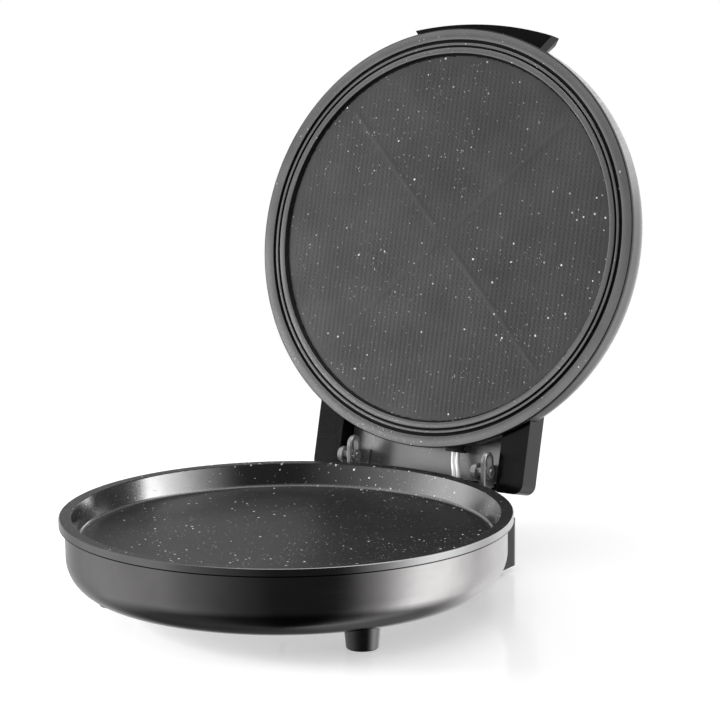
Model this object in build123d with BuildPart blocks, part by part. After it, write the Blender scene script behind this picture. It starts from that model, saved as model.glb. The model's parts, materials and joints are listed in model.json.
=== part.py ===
from build123d import *
import os
from math import atan2, cos, degrees, hypot, pi, radians, sin, tan

# Electric pizza maker: a round non-stick pan in a metal base, with a heated lid that floats on its
# hinge. It stands open, as it does while a pizza is laid in.
# The pieces are modelled with the origin on the worktop under the middle of the round base, +Z up,
# the handle at -Y and the hinge at +Y. At the end they move along Y, so that the exported origin is
# under the middle of the whole object's box. Lengths are millimetres and angles are degrees.

os.makedirs("parts", exist_ok=True)

# Clearances
seat_gap = 0.3
running_gap = 0.08
screw_gap = 0.05
hole_gap = 0.2

# Pan and base housing
rim_radius = 165.0
rim_height = 70.0
rim_lip_depth = 6.0
rim_lip_width = 4.0
rim_thickness = 3.0
rim_width = 9.0
rim_edge = 0.9
pan_wall_run = 6.0
pan_depth = 18.0
pan_thickness = 3.0
pan_foot_fillet = 4.0
lip_gap = 0.4
housing_bottom = 16.5
housing_corner = 25.0
sheet = 1.2
bottom_opening_inset = 58.0
cover_overlap = 8.0
cover_screw_count = 4
vent_count = 6
vent_length = 30.0
vent_width = 4.0
vent_circle = 62.0

# Front feet
foot_inset = 34.4
foot_angle = 32.2
foot_top_radius = 13.0
foot_sole_radius = 11.5
foot_sole_edge = 1.5
foot_recess_depth = 9.0
foot_screw_spare = 1.0

# Rear block, which carries the hinge
block_half_width = 99.0
block_reach = 10.0
block_top = 41.0
block_bottom = 5.0
block_corner = 9.0
block_wall = 2.5
deck_side_margin = 0.5
deck_behind_hinge = 14.0
deck_top = 58.0
deck_corner = 6.0
deck_edge = 1.2
block_cover_thickness = 2.0
block_screw_x = 50.0
block_screw_z = 49.0
block_screw_length = 9.0
pad_x = 78.0
pad_inset = 14.0
pad_radius = 8.0
pad_edge = 1.0
cover_boss_x = 20.0
cover_boss_inset = 11.0
cover_boss_radius = 4.0
boss_hole_depth = 14.0
wiring_hole_radius = 6.0
wiring_hole_z = 48.0
wiring_bush_length = 6.0
gland_x = -40.0
gland_z = 25.0
gland_radius = 6.0
gland_bore_radius = 3.6
gland_flange_radius = 9.5
gland_flange_thickness = 2.5
gland_inner_length = 9.0

# Floating hinge
hinge_setback = 13.0
hinge_z = 70.7
opening_angle = 104.4
float_travel = 10.0
pin_radius = 3.5
pin_end = 1.0
pin_chamfer = 0.6
post_offset = 6.0
post_half_spacing = 60.5
post_thickness = 4.0
post_width = 15.0
post_top = 87.0
post_foot_width = 8.0
post_foot_thickness = 2.5
post_screw_y = 4.6
clip_radius = 5.5
clip_thickness = 1.2
clip_gap = 0.3
post_edge = 1.2
post_screw_length = 7.0
post_screw_head = 2.4
post_screw_head_height = 1.6
knuckle_offset = 9.0
knuckle_thickness = 3.0
knuckle_radius = 6.4
knuckle_foot_width = 11.0
knuckle_foot_thickness = 2.0

# Lid
lid_gap = 0.5
flange_thickness = 3.0
flange_width = 8.7
flange_edge = 0.8
plate_back = 7.0
plate_back_inset = 7.0
outer_groove_width = 2.6
outer_groove_depth = 2.2
outer_groove_draft = 0.3
ridge_width = 2.0
inner_groove_width = 1.7
inner_groove_depth = 1.8
inner_groove_draft = 0.2
bead_width = 4.5
field_slope_run = 0.8
field_depth = 4.0
shell_inset = 0.4
shell_height = 36.0
shell_corner = 23.0
crown_inset = 52.6
crown_height = 1.6
crown_edge = 1.3

# Handle on the front of the lid
handle_half_width = 62.0
handle_low = 25.0
handle_edge = 12.0
handle_high = 45.0
handle_bevel = 8.0
handle_overhang = 8.4
handle_end_drop = 7.0
handle_depth = 44.0
handle_end_depth = 32.0
handle_end_cut = 28.0
handle_round = 3.5
handle_screw_x = 27.0
handle_screw_inset = 32.0
handle_screw_length = 10.0
lens_spacing = 18.0
lens_inset = 23.0
lens_radius = 3.0
lens_seat_depth = 3.0
lens_rise = 1.0

# Hinge housing on the back of the lid
arm_width = 23.0
arm_side_gap = 3.0
arm_behind_hinge = 14.0
arm_low = 6.5
arm_high = 28.0
arm_corner = 8.0
arm_inner_corner = 2.5
web_low = 24.0
web_setback = 4.0
tongue_half_width = 60.0
tongue_crown_gap = 6.0
tongue_overhang = 11.4
tongue_high = 41.0
panel_thickness = 1.5
panel_side_gap = 1.0
panel_setback = 2.0
housing_screw_x = 45.0
housing_screw_inset = 10.0
housing_screw_length = 5.0
tongue_round = 3.0

# Heating stacks, alike behind the pan and behind the lid plate
element_radius = 3.25
element_margin = 20.0
element_gap = 0.2
element_leg_half_gap = 8.0
element_bend = 12.0
stack_margin = 30.0
reflector_sheet = 0.8
insulation_thickness = 8.0
insulation_setback = 1.0
sensor_hole_radius = 28.0
stack_post_radius = 4.0
stack_post_circle = 70.0
stack_post_count = 3
stack_screw_length = 9.0
stack_hole_web = 4.0
stack_hole_gap = 0.4
thermostat_radius = 8.0
thermostat_height = 9.0
thermostat_flange_radius = 12.0
thermostat_flange_thickness = 1.5
fuse_radius = 2.0
fuse_length = 16.0
fuse_x = 19.0
terminal_length = 28.0
terminal_depth = 10.0
terminal_height = 12.0
terminal_edge = 0.8
lower_terminal_gap = 24.0
upper_terminal_gap = 11.6
thermostat_blade_width = 4.0
thermostat_blade_thickness = 0.8
thermostat_blade_height = 4.0

# Leads from the base to the lid
lead_radius = 1.6
lead_bore_gap = 0.1
lead_bend_share = 0.45
lead_pitch = 3.8
deck_lead_x = 36.5
deck_lead_behind_hinge = 4.5
deck_lead_rise = 8.5
lid_lead_x = 30.0
lid_lead_height = 12.0
lid_lead_reach = 7.4
grommet_radius = 6.0
grommet_flange_radius = 8.0
grommet_flange_thickness = 2.0
grommet_edge = 0.7
deck_grommet_length = 8.0
lid_grommet_length = 6.4
junction_height = 12.0
junction_length = 24.0
junction_depth = 12.0

# Screws
small_shank = 1.55
small_head = 3.0
small_head_height = 2.2
washer_head_radius = 7.0
washer_head_thickness = 1.2
slot_width = 0.9
slot_depth = 0.8
foot_screw_shank = 1.9
foot_screw_head = 4.0
foot_screw_head_height = 2.6
nut_height = 3.2
nut_across_corners = 8.1

# Places, heights and radii worked out from the sizes above
pan_mouth_radius = rim_radius - rim_width
pan_floor_radius = pan_mouth_radius - pan_wall_run
housing_radius = rim_radius - rim_lip_width - lip_gap
bottom_opening_radius = housing_radius - bottom_opening_inset
cover_radius = bottom_opening_radius + cover_overlap
cover_screw_circle = bottom_opening_radius + cover_overlap / 2
foot_circle = housing_radius - foot_inset
foot_x = foot_circle * cos(radians(foot_angle))
foot_y = -foot_circle * sin(radians(foot_angle))
hinge_y = rim_radius + hinge_setback
block_rear = housing_radius + block_reach
deck_rear = hinge_y + deck_behind_hinge
deck_half_width = post_offset + post_half_spacing + post_thickness / 2 + deck_side_margin
pad_y = block_rear - pad_inset
cover_boss_y = deck_rear - cover_boss_inset
screw_edge_x = block_screw_x + small_head
block_screw_head_y = ((housing_radius - sheet) ** 2 - screw_edge_x**2) ** 0.5 - hole_gap
flange_inner_radius = rim_radius - flange_width
outer_groove_inner = flange_inner_radius - outer_groove_width
ridge_inner = outer_groove_inner - ridge_width
inner_groove_inner = ridge_inner - inner_groove_width
bead_inner = inner_groove_inner - bead_width
field_radius = bead_inner - field_slope_run
plate_back_radius = rim_radius - plate_back_inset
shell_radius = rim_radius - shell_inset
crown_radius = shell_radius - crown_inset
handle_reach = shell_radius + handle_overhang
handle_screw_y = handle_reach - handle_screw_inset
lens_y = handle_reach - lens_inset
arm_inner_x = deck_half_width + arm_side_gap
arm_outer_x = arm_inner_x + arm_width
arm_end = hinge_y + arm_behind_hinge
web_end = arm_end - web_setback
tongue_start = crown_radius + tongue_crown_gap
tongue_end = shell_radius + tongue_overhang
panel_half_width = arm_inner_x - panel_side_gap
panel_end = web_end - panel_setback
housing_screw_y = tongue_start + housing_screw_inset
reflector_radius = pan_floor_radius - stack_margin
insulation_radius = reflector_radius - insulation_setback
element_ring_radius = reflector_radius - element_margin
lower_leg_end = housing_radius - lower_terminal_gap - terminal_depth
upper_leg_end = shell_radius - upper_terminal_gap - terminal_depth
deck_lead_y = hinge_y + deck_lead_behind_hinge
deck_grommet_foot = deck_top - deck_grommet_length
lid_lead_turn = shell_radius + lid_lead_reach
lid_grommet_outer = shell_radius - sheet
lid_grommet_inner = lid_grommet_outer - lid_grommet_length
housing_seat = rim_height - rim_thickness
pan_floor = rim_height - pan_depth
pan_underside = pan_floor - pan_thickness
element_space = 2 * element_radius + 2 * element_gap
stack_height = element_space + reflector_sheet + insulation_thickness
post_spots = (post_offset - post_half_spacing, post_offset + post_half_spacing)


def shell_inner_height(radius):
    """How far above the lid's face the shell's inner side lies at a radius outside the crown."""
    into_corner = max(radius - (shell_radius - shell_corner), 0)
    return shell_height - shell_corner + ((shell_corner - sheet) ** 2 - into_corner**2) ** 0.5


handle_screw_base = shell_inner_height(hypot(handle_screw_x, handle_screw_y) + small_head) - hole_gap
housing_screw_base = shell_inner_height(hypot(housing_screw_x, housing_screw_y) + small_head) - hole_gap


def opened(y, z):
    """Where a point of the shut lid, above the middle of the base, lies with the lid open."""
    turn = radians(opening_angle)
    rise = z - hinge_z
    reach = y - hinge_y
    return Vector(
        0,
        hinge_y + reach * cos(turn) + rise * sin(turn),
        hinge_z - reach * sin(turn) + rise * cos(turn),
    )


# The lid's own plane: its face is z = 0, its back is +z and the hinge is towards +y, so that it
# lies level over the pan when the lid is shut.
lid_frame = Plane(
    origin=opened(0, rim_height + lid_gap),
    x_dir=(1, 0, 0),
    z_dir=opened(0, 1) - opened(0, 0),
)
# The base's sheet bowl hangs from under the pan's rim, and the lower stack from under its floor.
bowl_frame = Plane(origin=(0, 0, housing_seat), x_dir=(-1, 0, 0), z_dir=(0, 0, -1))
lower_stack_frame = Plane(origin=(0, 0, pan_underside), x_dir=(-1, 0, 0), z_dir=(0, 0, -1))
upper_stack_frame = lid_frame.offset(plate_back)

finished = []


def finish(piece, name):
    """Label a finished piece and keep it for the export."""
    piece.label = name
    finished.append(piece)


def section_of(frame):
    """The plane through a frame's axis, with the radius along x and the height along y."""
    return Plane(origin=frame.origin, x_dir=frame.x_dir, z_dir=-frame.y_dir)


def axis_of(frame):
    return Axis(frame.origin, frame.z_dir)


def placed(frame, x, y, z):
    """A plane parallel to a frame, with its origin at a point given in that frame."""
    return Plane(origin=frame.from_local_coords((x, y, z)), x_dir=frame.x_dir, z_dir=frame.z_dir)


def across(frame, x, y, z):
    """A plane square to a frame's y axis, looking towards +y, at a point given in that frame."""
    return Plane(origin=frame.from_local_coords((x, y, z)), x_dir=frame.x_dir, z_dir=frame.y_dir)


def side_on(frame, x):
    """A plane square to a frame's x axis, with the frame's y along x and its z along y."""
    return Plane(origin=frame.from_local_coords((x, 0, 0)), x_dir=frame.y_dir, z_dir=frame.x_dir)


def bowl_form(frame, radius, height, corner):
    """A solid bowl on its mouth: straight side, one large corner radius and a flat end."""
    with BuildPart() as form:
        with BuildSketch(section_of(frame)):
            with BuildLine():
                Polyline(
                    (radius, height - corner), (radius, 0), (0, 0), (0, height), (radius - corner, height)
                )
                CenterArc((radius - corner, height - corner), corner, 0, 90)
            make_face()
        revolve(axis=axis_of(frame))
    return form.part


def slotted_screws(frame, spots, shank, length, head, head_height, washer=0.0):
    """Screws that point along the frame's +z, with the underside of each head at z = 0."""
    low_end = (Align.CENTER, Align.CENTER, Align.MIN)
    high_end = (Align.CENTER, Align.CENTER, Align.MAX)
    washer_height = washer_head_thickness if washer else 0.0
    with BuildPart(frame) as screws:
        with Locations(*spots):
            Cylinder(shank, length, align=low_end)
            if washer:
                Cylinder(washer, washer_height, align=high_end)
        with Locations(*[(x, y, -washer_height) for x, y in spots]):
            Cylinder(head, head_height, align=high_end)
        with Locations(*[(x, y, -washer_height - head_height) for x, y in spots]):
            Box(2 * head, slot_width, slot_depth, align=low_end, mode=Mode.SUBTRACT)
    return screws.part


def polar_spots(radius, count, start):
    angles = [radians(start + 360 * turn / count) for turn in range(count)]
    return [(radius * cos(angle), radius * sin(angle)) for angle in angles]


stack_spots = polar_spots(stack_post_circle, stack_post_count, 30)
cover_spots = polar_spots(cover_screw_circle, cover_screw_count, 45)
cover_boss_spots = [(-cover_boss_x, cover_boss_y), (cover_boss_x, cover_boss_y)]
handle_screw_spots = [(-handle_screw_x, -handle_screw_y), (handle_screw_x, -handle_screw_y)]
housing_screw_spots = [(-housing_screw_x, housing_screw_y), (housing_screw_x, housing_screw_y)]
lens_spots = [(-lens_spacing / 2, -lens_y), (lens_spacing / 2, -lens_y)]
post_screw_spots = [
    (x + inward * (post_thickness / 2 + post_foot_width / 2), hinge_y + step)
    for x, inward in zip(post_spots, (1, -1))
    for step in (-post_screw_y, post_screw_y)
]
clip_outset = knuckle_offset + knuckle_thickness / 2 + clip_gap
clip_steps = (-clip_outset - clip_thickness, post_thickness / 2 + clip_gap)
clip_spots = [x + step for x in post_spots for step in clip_steps]


# Pan: a cast plate with a sloped wall and a rim that laps over the base housing
with BuildPart() as pan:
    with BuildSketch(Plane.XZ):
        with BuildLine():
            Polyline(
                (0, pan_underside),
                (0, pan_floor),
                (pan_floor_radius, pan_floor),
                (pan_mouth_radius, rim_height),
                (rim_radius, rim_height),
                (rim_radius, rim_height - rim_lip_depth),
                (rim_radius - rim_lip_width, rim_height - rim_lip_depth),
                (rim_radius - rim_lip_width, housing_seat),
                (pan_mouth_radius + pan_thickness, housing_seat),
                (pan_floor_radius + pan_thickness, pan_underside),
                close=True,
            )
        make_face()
    revolve(axis=Axis.Z)
    top_edges = pan.edges().filter_by(GeomType.CIRCLE).group_by(Axis.Z)
    fillet(top_edges[-1], rim_edge)
    foot_edges = pan.edges().filter_by(GeomType.CIRCLE).filter_by(
        lambda edge: abs(edge.radius - pan_floor_radius) < 0.01
    )
    fillet(foot_edges, pan_foot_fillet)
    with BuildSketch(lower_stack_frame):
        with Locations(*stack_spots):
            Circle(stack_post_radius)
    extrude(amount=stack_height)
    with Locations(*[placed(lower_stack_frame, x, y, stack_height).location for x, y in stack_spots]):
        Hole(small_shank + screw_gap, depth=stack_height - stack_hole_web)
finish(pan.part, "pan")

# Base housing: a spun sheet bowl with a round opening in its bottom
housing_height = housing_seat - housing_bottom
rear_holes = [-block_screw_x, block_screw_x]
with BuildPart() as base_housing:
    add(bowl_form(bowl_frame, housing_radius, housing_height, housing_corner))
    add(
        bowl_form(bowl_frame, housing_radius - sheet, housing_height - sheet, housing_corner - sheet),
        mode=Mode.SUBTRACT,
    )
    with BuildSketch(Plane.XY.offset(housing_bottom)):
        Circle(bottom_opening_radius)
    extrude(amount=2 * sheet, mode=Mode.SUBTRACT)
    with BuildSketch(Plane.XY.offset(housing_bottom)):
        with Locations(*cover_spots):
            Circle(small_shank + hole_gap)
        with Locations((-foot_x, foot_y), (foot_x, foot_y)):
            Circle(foot_screw_shank + hole_gap)
    extrude(amount=2 * sheet, mode=Mode.SUBTRACT)
    with BuildSketch(Plane.XZ.offset(-housing_radius / 2)):
        with Locations((0, wiring_hole_z)):
            Circle(wiring_hole_radius)
        with Locations(*[(x, block_screw_z) for x in rear_holes]):
            Circle(small_shank + hole_gap)
    extrude(amount=-housing_radius, mode=Mode.SUBTRACT)
finish(base_housing.part, "base_housing")

# Bottom cover: a vented disc under the opening, held by screws
with BuildPart() as bottom_cover:
    with BuildSketch(Plane.XY.offset(housing_bottom)):
        Circle(cover_radius)
        with PolarLocations(vent_circle, vent_count):
            SlotOverall(vent_length, vent_width, mode=Mode.SUBTRACT)
        with Locations(*cover_spots):
            Circle(small_shank + hole_gap, mode=Mode.SUBTRACT)
    extrude(amount=-sheet)
    fillet(bottom_cover.edges().group_by(Axis.Z)[0].sort_by(SortBy.LENGTH)[-1], sheet / 2)
finish(bottom_cover.part, "base_bottom_cover")
finish(
    slotted_screws(
        Plane.XY.offset(housing_bottom - sheet),
        cover_spots,
        small_shank,
        3 * sheet,
        small_head,
        small_head_height,
    ),
    "bottom_cover_screws",
)

# Front feet: moulded cones under the round base, each held by a screw and a nut
foot_seats = {"foot_front_left": -foot_x, "foot_front_right": foot_x}
for name, x in foot_seats.items():
    with BuildPart() as foot:
        with BuildSketch(Plane((x, foot_y, 0))):
            Circle(foot_sole_radius)
        with BuildSketch(Plane((x, foot_y, housing_bottom))):
            Circle(foot_top_radius)
        loft()
        fillet(foot.edges().group_by(Axis.Z)[0], foot_sole_edge)
        with Locations((x, foot_y, 0)):
            Cylinder(
                foot_screw_head + hole_gap,
                foot_recess_depth,
                align=(Align.CENTER, Align.CENTER, Align.MIN),
                mode=Mode.SUBTRACT,
            )
            Cylinder(
                foot_screw_shank + hole_gap,
                housing_bottom,
                align=(Align.CENTER, Align.CENTER, Align.MIN),
                mode=Mode.SUBTRACT,
            )
    finish(foot.part, name)

foot_spots = [(-foot_x, foot_y), (foot_x, foot_y)]
foot_screw_length = housing_bottom - foot_recess_depth + sheet + nut_height + foot_screw_spare
finish(
    slotted_screws(
        Plane.XY.offset(foot_recess_depth),
        foot_spots,
        foot_screw_shank,
        foot_screw_length,
        foot_screw_head,
        foot_screw_head_height,
    ),
    "foot_screws",
)
with BuildPart() as foot_nuts:
    with BuildSketch(Plane.XY.offset(housing_bottom + sheet)):
        with Locations(*foot_spots):
            RegularPolygon(nut_across_corners / 2, 6)
            Circle(foot_screw_shank + screw_gap, mode=Mode.SUBTRACT)
    extrude(amount=nut_height)
finish(foot_nuts.part, "foot_nuts")

# Rear block: a hollow moulding that hugs the round housing and carries the hinge on its deck
def block_body(inset, low):
    """The rear block's two boxes, drawn inside its outer faces by the inset, from a low height up."""
    front = housing_radius / 2
    with BuildPart() as body:
        for half_width, rear, top, corner in (
            (block_half_width, block_rear, block_top, block_corner),
            (deck_half_width, deck_rear, deck_top, deck_corner),
        ):
            with BuildSketch(Plane.XY.offset(low)):
                with BuildLine():
                    FilletPolyline(
                        (-half_width + inset, front),
                        (-half_width + inset, rear - inset),
                        (half_width - inset, rear - inset),
                        (half_width - inset, front),
                        radius=corner - inset,
                    )
                    Line((half_width - inset, front), (-half_width + inset, front))
                make_face()
            extrude(amount=top - inset - low)
        with BuildSketch(Plane.XY.offset(low)):
            Circle(housing_radius + seat_gap + inset)
        extrude(amount=deck_top, mode=Mode.SUBTRACT)
    return body.part


with BuildPart() as rear_block:
    add(block_body(0, block_bottom))
    fillet(rear_block.edges().group_by(Axis.Z)[-1], deck_edge)
    add(block_body(block_wall, block_bottom), mode=Mode.SUBTRACT)
    boss_foot = block_bottom + block_cover_thickness
    with BuildSketch(Plane.XY.offset(boss_foot)):
        with Locations(*cover_boss_spots):
            Circle(cover_boss_radius)
    extrude(amount=deck_top - block_wall - boss_foot)
    with Locations(*[Plane((x, y, boss_foot), z_dir=(0, 0, -1)).location for x, y in cover_boss_spots]):
        Hole(small_shank + screw_gap, depth=boss_hole_depth)
    with BuildSketch(Plane.XZ.offset(-housing_radius / 2)):
        with Locations((0, wiring_hole_z)):
            Circle(wiring_hole_radius)
        with Locations(*[(x, block_screw_z) for x in rear_holes]):
            Circle(small_shank + screw_gap)
    extrude(amount=-(housing_radius / 2 + block_wall + seat_gap), mode=Mode.SUBTRACT)
    with BuildSketch(Plane.XZ.offset(-deck_rear)):
        with Locations((gland_x, gland_z)):
            Circle(gland_radius + hole_gap)
    extrude(amount=block_wall, mode=Mode.SUBTRACT)
    with BuildSketch(Plane.XY.offset(deck_top)):
        with Locations((deck_lead_x, deck_lead_y)):
            Circle(grommet_radius + hole_gap)
        with Locations(*post_screw_spots):
            Circle(small_shank + screw_gap)
    extrude(amount=-block_wall, mode=Mode.SUBTRACT)
finish(rear_block.part, "rear_hinge_block")

# The plate that closes the rear block from below, with its two screws
with BuildPart() as block_cover:
    add(block_body(block_wall + seat_gap, block_bottom))
    with BuildSketch(Plane.XY.offset(block_bottom + block_cover_thickness)):
        Rectangle(4 * block_half_width, 4 * deck_rear)
    extrude(amount=deck_top, mode=Mode.SUBTRACT)
    with BuildSketch(Plane.XY.offset(block_bottom)):
        with Locations(*cover_boss_spots):
            Circle(small_shank + hole_gap)
    extrude(amount=block_cover_thickness, mode=Mode.SUBTRACT)
finish(block_cover.part, "rear_block_cover")
finish(
    slotted_screws(
        Plane.XY.offset(block_bottom),
        cover_boss_spots,
        small_shank,
        boss_hole_depth,
        small_head,
        small_head_height,
    ),
    "rear_block_cover_screws",
)
with BuildPart() as block_screws:
    for x in rear_holes:
        head_face = Plane((x, block_screw_head_y, block_screw_z), x_dir=(-1, 0, 0), z_dir=(0, 1, 0))
        add(
            slotted_screws(
                head_face, [(0, 0)], small_shank, block_screw_length, small_head, small_head_height
            )
        )
finish(block_screws.part, "rear_block_screws")

# Rear feet: low rubber pads under the rear block's cover
for name, x in {"foot_rear_left": -pad_x, "foot_rear_right": pad_x}.items():
    with BuildPart() as pad:
        with BuildSketch(Plane((x, pad_y, 0))):
            Circle(pad_radius)
        extrude(amount=block_bottom)
        fillet(pad.edges().group_by(Axis.Z)[0], pad_edge)
    finish(pad.part, name)


def bush(frame, bore, outer, length, flange, flange_thickness):
    """A flanged bush along the frame's +z, with the flange's seat at z = 0 and the flange below it."""
    with BuildPart() as ring:
        with BuildSketch(frame):
            Circle(outer)
            Circle(bore, mode=Mode.SUBTRACT)
        extrude(amount=length)
        with BuildSketch(frame):
            Circle(flange)
            Circle(bore, mode=Mode.SUBTRACT)
        extrude(amount=-flange_thickness)
        flange_rims = ring.edges().filter_by(GeomType.CIRCLE).group_by(axis_of(frame))[0]
        fillet(flange_rims.sort_by(SortBy.LENGTH)[-1], flange_thickness / 4)
    return ring.part


# Mains gland in the rear face, and the bush that passes the wiring from base to block
gland_frame = Plane((gland_x, deck_rear, gland_z), x_dir=(1, 0, 0), z_dir=(0, -1, 0))
finish(
    bush(
        gland_frame,
        gland_bore_radius,
        gland_radius,
        gland_inner_length,
        gland_flange_radius,
        gland_flange_thickness,
    ),
    "mains_gland",
)
wiring_frame = Plane(
    (0, housing_radius - sheet - seat_gap, wiring_hole_z), x_dir=(-1, 0, 0), z_dir=(0, 1, 0)
)
finish(
    bush(
        wiring_frame,
        wiring_hole_radius - sheet - hole_gap,
        wiring_hole_radius - hole_gap,
        wiring_bush_length,
        wiring_hole_radius + sheet,
        sheet,
    ),
    "wiring_bush",
)

# Hinge posts: steel angles on the deck, each with an upright slot that lets its pin float
for name, x, inward in zip(("hinge_post_left", "hinge_post_right"), post_spots, (1, -1)):
    inner_face = x + inward * post_thickness / 2
    with BuildPart() as post:
        with BuildSketch(Plane((x - post_thickness / 2, hinge_y, 0), x_dir=(0, 1, 0), z_dir=(1, 0, 0))):
            with Locations((0, deck_top)):
                straight = post_top - post_width / 2 - deck_top
                Rectangle(post_width, straight, align=(Align.CENTER, Align.MIN))
            with Locations((0, post_top - post_width / 2)):
                Circle(post_width / 2)
            with Locations((0, hinge_z + float_travel / 2)):
                SlotCenterToCenter(
                    float_travel, 2 * (pin_radius + running_gap), rotation=90, mode=Mode.SUBTRACT
                )
        extrude(amount=post_thickness)
        with BuildSketch(Plane.XY.offset(deck_top)):
            with Locations((inner_face + inward * post_foot_width / 2, hinge_y)):
                Rectangle(post_foot_width, post_width)
            with Locations(*post_screw_spots):
                Circle(small_shank + hole_gap, mode=Mode.SUBTRACT)
        extrude(amount=post_foot_thickness)
        outer_rim = post.edges().filter_by(GeomType.CIRCLE).filter_by(
            lambda edge: abs(edge.radius - post_width / 2) < 0.01
        )
        fillet(outer_rim, post_edge)
    finish(post.part, name)
finish(
    slotted_screws(
        Plane(origin=(0, 0, deck_top + post_foot_thickness), x_dir=(1, 0, 0), z_dir=(0, 0, -1)),
        [(x, -y) for x, y in post_screw_spots],
        small_shank,
        post_screw_length,
        post_screw_head,
        post_screw_head_height,
    ),
    "hinge_post_screws",
)

# Hinge pins: one through each post and the knuckle beside it, with a clip at each end
pin_start = clip_outset + clip_thickness + pin_end
pin_length = pin_start + post_thickness / 2 + clip_gap + clip_thickness + pin_end
with BuildPart() as pins:
    for x in post_spots:
        with BuildSketch(Plane((x - pin_start, hinge_y, hinge_z), x_dir=(0, 1, 0), z_dir=(1, 0, 0))):
            Circle(pin_radius)
        extrude(amount=pin_length)
    chamfer(pins.edges().filter_by(GeomType.CIRCLE), pin_chamfer)
finish(pins.part, "hinge_pins")
with BuildPart() as clips:
    for x in clip_spots:
        with BuildSketch(Plane((x, hinge_y, hinge_z), x_dir=(0, 1, 0), z_dir=(1, 0, 0))):
            Circle(clip_radius)
            Circle(pin_radius + screw_gap, mode=Mode.SUBTRACT)
        extrude(amount=clip_thickness)
finish(clips.part, "pin_clips")

# Lid plate: the upper cooking face with a sunken field inside two grooves
with BuildPart() as lid_plate:
    with BuildSketch(section_of(lid_frame)):
        with BuildLine():
            Polyline(
                (rim_radius, 0),
                (flange_inner_radius, 0),
                (flange_inner_radius - outer_groove_draft, outer_groove_depth),
                (outer_groove_inner, outer_groove_depth),
                (outer_groove_inner, 0),
                (ridge_inner, 0),
                (ridge_inner - inner_groove_draft, inner_groove_depth),
                (inner_groove_inner, inner_groove_depth),
                (inner_groove_inner, 0),
                (bead_inner, 0),
                (field_radius, field_depth),
                (0, field_depth),
                (0, plate_back),
                (plate_back_radius, plate_back),
                (plate_back_radius, flange_thickness),
                (rim_radius, flange_thickness),
                close=True,
            )
        make_face()
    revolve(axis=axis_of(lid_frame))
    rim_edges = lid_plate.edges().filter_by(GeomType.CIRCLE).filter_by(
        lambda edge: abs(edge.radius - rim_radius) < 0.01
    )
    fillet(rim_edges.group_by(axis_of(lid_frame))[0], flange_edge)
    with BuildSketch(upper_stack_frame):
        with Locations(*stack_spots):
            Circle(stack_post_radius)
    extrude(amount=stack_height)
    with Locations(*[placed(upper_stack_frame, x, y, stack_height).location for x, y in stack_spots]):
        Hole(small_shank + screw_gap, depth=stack_height - stack_hole_web)
finish(lid_plate.part, "lid_plate")

# Lid shell: a spun sheet cover with a raised crown, seated on the back of the plate's flange
shell_frame = lid_frame.offset(flange_thickness)
shell_rise = shell_height - flange_thickness
lid_clearance = bowl_form(
    lid_frame, shell_radius + seat_gap, shell_height + seat_gap, shell_corner + seat_gap
)
with BuildPart() as lid_shell:
    add(bowl_form(shell_frame, shell_radius, shell_rise, shell_corner))
    with BuildSketch(lid_frame.offset(shell_height)):
        Circle(crown_radius)
    extrude(amount=crown_height)
    fillet(lid_shell.edges().group_by(axis_of(lid_frame))[-1], crown_edge)
    add(
        bowl_form(shell_frame, shell_radius - sheet, shell_rise - sheet, shell_corner - sheet),
        mode=Mode.SUBTRACT,
    )
    with BuildSketch(lid_frame.offset(shell_height - sheet)):
        Circle(crown_radius - sheet)
    extrude(amount=crown_height, mode=Mode.SUBTRACT)
    with BuildSketch(lid_frame.offset(shell_height - shell_corner)):
        with Locations(*handle_screw_spots, *housing_screw_spots):
            Circle(small_shank + hole_gap)
    extrude(amount=shell_corner, mode=Mode.SUBTRACT)
    with BuildSketch(across(lid_frame, lid_lead_x, lid_grommet_inner, lid_lead_height)):
        Circle(grommet_radius + hole_gap)
    extrude(amount=shell_radius - lid_grommet_inner, mode=Mode.SUBTRACT)
finish(lid_shell.part, "lid_shell")

# Handle: a crescent over the front corner of the lid, with a bevelled top and two pilot lamps in it
def handle_outline(height, inset):
    """The handle's outline at a height above the lid's face, with its outer sides set in."""
    half_width = handle_half_width - inset
    inner_half_width = half_width - handle_end_cut
    outer_end = inset + handle_end_drop - handle_reach
    inner_end = handle_end_drop + handle_end_depth - handle_reach
    outer_middle = inset - handle_reach
    inner_middle = handle_depth - handle_reach
    with BuildSketch(lid_frame.offset(height)) as outline:
        with BuildLine():
            ThreePointArc((-half_width, outer_end), (0, outer_middle), (half_width, outer_end))
            Line((half_width, outer_end), (inner_half_width, inner_end))
            ThreePointArc((inner_half_width, inner_end), (0, inner_middle), (-inner_half_width, inner_end))
            Line((-inner_half_width, inner_end), (-half_width, outer_end))
        make_face()
    return outline.sketch


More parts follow.
